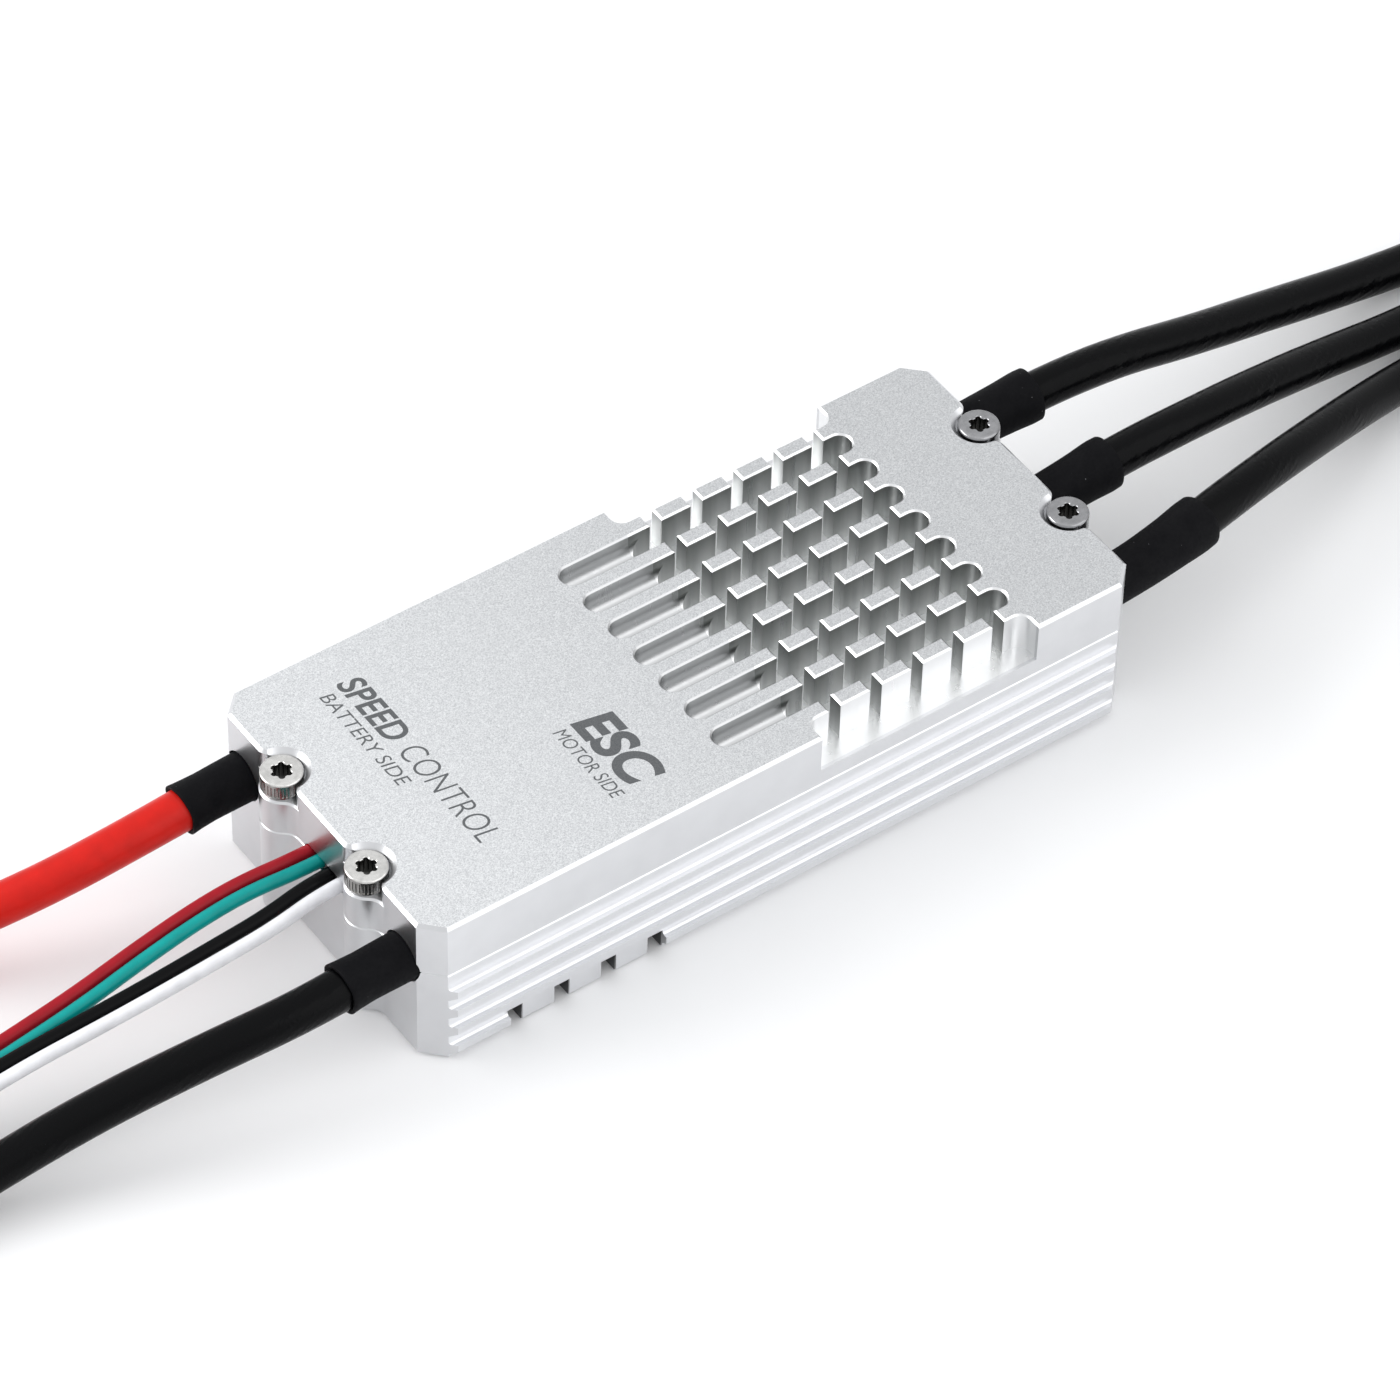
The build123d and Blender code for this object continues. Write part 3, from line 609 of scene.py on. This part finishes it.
power_routes = {
    "battery_positive": [
        (-36.0, 14.5, 12.7),
        (-46.0, 14.5, 12.7),
        (-56.5, 14.6, 11.6),
        (-66.0, 15.9, 9.3),
        (-75.5, 18.8, 6.2),
        (-86.0, 21.4, 3.4),
        (-97.0, 22.6, 2.3),
        (-109.0, 22.3, 2.25),
        (-120.5, 20.8, 2.3),
        (-131.5, 20.2, 2.25),
    ],
    "battery_negative": [
        (-36.0, -14.5, 12.7),
        (-46.0, -14.5, 12.8),
        (-56.0, -14.7, 12.3),
        (-66.0, -12.8, 10.4),
        (-77.0, -10.3, 7.3),
        (-88.0, -9.0, 4.4),
        (-98.0, -8.9, 2.6),
        (-109.0, -9.8, 2.25),
        (-120.5, -11.0, 2.3),
        (-131.5, -11.2, 2.25),
    ],
    "motor_a": [
        (38.0, 13.4, 12.7),
        (47.0, 13.35, 12.75),
        (56.5, 12.6, 14.0),
        (66.0, 12.5, 13.2),
        (76.5, 12.9, 10.2),
        (87.5, 13.8, 7.1),
        (98.0, 14.3, 4.4),
        (109.0, 14.4, 2.4),
        (120.5, 13.9, 2.25),
        (131.5, 13.7, 2.3),
    ],
    "motor_b": [
        (38.0, 0.0, 12.7),
        (47.0, 0.05, 12.75),
        (56.5, 0.3, 13.6),
        (66.0, 0.6, 13.2),
        (76.0, 2.3, 10.7),
        (87.0, 4.4, 7.2),
        (98.0, 5.8, 4.1),
        (109.0, 6.6, 2.4),
        (120.0, 6.8, 2.25),
        (131.0, 6.6, 2.3),
    ],
    "motor_c": [
        (38.0, -13.4, 12.7),
        (46.5, -13.4, 12.7),
        (55.0, -12.5, 13.1),
        (64.0, -10.6, 12.9),
        (73.5, -7.9, 11.0),
        (83.5, -4.6, 7.9),
        (93.0, -1.6, 4.8),
        (102.5, 0.3, 2.8),
        (113.0, 1.0, 2.25),
        (124.0, 0.6, 2.3),
        (134.0, 0.5, 2.25),
    ],
}
signal_routes = {
    "red": [
        (-40.4, 2.2, 12.7),
        (-46.0, 2.2, 12.7),
        (-52.0, 2.7, 12.6),
        (-58.0, 2.8, 11.8),
        (-65.0, 2.6, 10.4),
        (-72.0, 2.4, 8.7),
        (-80.0, 2.5, 7.0),
        (-88.0, 2.7, 5.4),
        (-97.0, 2.8, 4.0),
        (-106.0, 2.9, 2.9),
        (-115.0, 3.0, 2.25),
        (-124.0, 3.0, 2.25),
    ],
    "teal": [
        (-40.4, 0.5, 12.7),
        (-46.0, 0.5, 12.7),
        (-52.0, 1.1, 12.6),
        (-58.0, 1.2, 11.8),
        (-65.0, 1.0, 10.4),
        (-72.0, 0.7, 8.7),
        (-80.0, 0.8, 7.0),
        (-88.0, 0.9, 5.4),
        (-97.0, 1.0, 4.0),
        (-106.0, 1.0, 2.9),
        (-115.0, 1.0, 2.25),
        (-124.0, 1.0, 2.25),
    ],
    "black": [
        (-40.4, -1.4, 12.7),
        (-46.0, -1.4, 12.7),
        (-52.0, -2.0, 11.9),
        (-58.0, -1.9, 11.2),
        (-65.0, -1.7, 10.2),
        (-72.0, -1.2, 9.1),
        (-80.0, -0.6, 7.9),
        (-88.0, -0.2, 6.4),
        (-97.0, -0.3, 4.8),
        (-106.0, -0.7, 3.2),
        (-115.0, -1.0, 2.25),
        (-124.0, -1.0, 2.25),
    ],
    "white": [
        (-40.4, -3.2, 12.7),
        (-46.0, -3.2, 12.7),
        (-52.0, -3.8, 11.9),
        (-58.0, -3.7, 11.2),
        (-65.0, -3.4, 10.2),
        (-72.0, -2.9, 9.1),
        (-80.0, -2.2, 7.9),
        (-88.0, -1.9, 6.4),
        (-97.0, -2.1, 4.8),
        (-106.0, -2.6, 3.2),
        (-115.0, -3.0, 2.25),
        (-124.0, -3.0, 2.25),
    ],
}

power_radius_mm = 2.25
signal_radius_mm = 0.74
tip_radius_mm = 1.35
tip_length_mm = 8.0
sleeve_start_mm = 41.7
# each profile is a share of a sleeve's length, and the radius there
battery_profile = [(0.0, 2.72), (0.35, 2.66), (0.7, 2.62), (0.9, 2.7), (1.0, 2.78)]
motor_profile = [(0.0, 2.72), (0.4, 2.74), (0.75, 2.88), (0.92, 3.02), (1.0, 2.98)]
sleeve_stops = {
    "battery_positive": -51.5,
    "battery_negative": -51.4,
    "motor_a": 54.6,
    "motor_b": 55.3,
    "motor_c": 58.2,
}
for name, route in power_routes.items():
    rail = Rail(route_line(name, route))
    paint = red_silicone if name == "battery_positive" else black_silicone
    lead = insulated(name + "_wire", rail, power_radius_mm, paint)
    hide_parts(name + "_lead")
    at_battery = name.startswith("battery")
    tips_node = "battery_lead_tips" if at_battery else "motor_lead_tips"
    tip = strand_tip(name + "_strands", rail, tip_radius_mm, tip_length_mm, tinned)
    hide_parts(tips_node)
    direction = -1 if at_battery else 1
    sleeve_start = rail.distance_to_x(direction * sleeve_start_mm * MM)
    sleeve_stop = rail.distance_to_x(sleeve_stops[name] * MM)
    profile = battery_profile if at_battery else motor_profile
    cover = sleeve(name + "_shrink", rail, sleeve_start, sleeve_stop, power_radius_mm, profile)
    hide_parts(name + "_sleeve")

for color, route in signal_routes.items():
    rail = Rail(route_line("signal_" + color, route))
    wire = insulated("signal_" + color + "_wire", rail, signal_radius_mm, signal_paints[color])
    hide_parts("signal_wire_" + color)


# ---- lettering ---------------------------------------------------------------------------------


def lettering(name, words, x_mm, y_mm, height_mm, width_mm, weight_mm):
    """Plain slanted capitals on the top face, width_mm long. They run towards -Y with their tops at +X."""
    cap_share = 0.69
    ink_mm = 0.004
    text = bpy.data.curves.new(name, "FONT")
    text.body = words
    text.size = height_mm / cap_share * MM
    text.offset = weight_mm * MM
    text.shear = 0.2
    text.extrude = ink_mm * MM
    text.materials.append(ink_paint)
    piece = bpy.data.objects.new(name, text)
    bpy.context.scene.collection.objects.link(piece)
    bpy.context.view_layer.update()
    piece.scale.x = width_mm * MM / piece.dimensions.x
    piece.location = (x_mm * MM, y_mm * MM, top_z + ink_mm * MM)
    piece.rotation_euler = (0, 0, -math.pi / 2)
    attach(piece, "root")


ink_paint = ink()
# the words, the x and y of the first letter, the height, the length, and how much bolder the strokes are
lettering("label_word_1", "SPEED", -32.8, 14.4, 2.75, 9.8, 0.08)
lettering("label_word_2", "CONTROL", -32.8, 3.4, 2.75, 14.7, -0.05)
lettering("label_word_3", "BATTERY SIDE", -35.2, 13.9, 1.55, 14.7, -0.01)
lettering("label_word_4", "ESC", -16.1, -3.3, 4.2, 10.8, 0.22)
lettering("label_word_5", "MOTOR SIDE", -18.5, -3.4, 1.5, 10.8, -0.01)


# ---- floor, lights and world ---------------------------------------------------------------------


def lay_floor():
    """A plain pale floor."""
    bpy.ops.mesh.primitive_plane_add(size=4.0, location=(0, 0, -0.02 * MM))
    floor = bpy.context.object
    floor.name = "floor"
    paint = Paint("floor_paint", Roughness=0.9, Specular_IOR_Level=0.1)
    cloud = paint.ramp(paint.grain(0.02, 2.0), 0.3, 0.7)
    tone = paint.blend(cloud, (0.9, 0.9, 0.905, 1), (0.92, 0.92, 0.925, 1))
    floor.data.materials.append(paint.use(Base_Color=tone))


def soft_light(name, towards, distance, size, power):
    """A square soft light that shines at the object from the direction towards."""
    data = bpy.data.lights.new(name, "AREA")
    data.shape = "SQUARE"
    data.size = size
    data.energy = power
    lamp = bpy.data.objects.new(name, data)
    direction = Vector(towards).normalized()
    lamp.location = direction * distance
    lamp.rotation_mode = "QUATERNION"
    lamp.rotation_quaternion = direction.to_track_quat("Z", "Y")
    bpy.context.scene.collection.objects.link(lamp)


def light_world():
    """A pale surround that brightens overhead."""
    world = bpy.data.worlds.new("studio")
    world.use_nodes = True
    tree = world.node_tree
    spot = tree.nodes.new("ShaderNodeTexCoord")
    split = tree.nodes.new("ShaderNodeSeparateXYZ")
    rise = tree.nodes.new("ShaderNodeMapRange")
    tree.links.new(spot.outputs["Generated"], split.inputs["Vector"])
    tree.links.new(split.outputs["Z"], rise.inputs["Value"])
    for socket, value in {"From Min": 0.5, "From Max": 0.95, "To Min": 0.84, "To Max": 1.12}.items():
        rise.inputs[socket].default_value = value
    tree.links.new(rise.outputs["Result"], tree.nodes["Background"].inputs["Strength"])
    tree.nodes["Background"].inputs["Color"].default_value = (0.98, 0.99, 1.0, 1)
    bpy.context.scene.world = world
    bpy.context.scene.view_settings.view_transform = "Standard"


lay_floor()
light_world()
soft_light("key", (-0.73, 0.55, 0.50), 0.9, 0.55, 4.6)
soft_light("fill", (0.4, -0.73, 0.55), 0.9, 1.0, 2.3)
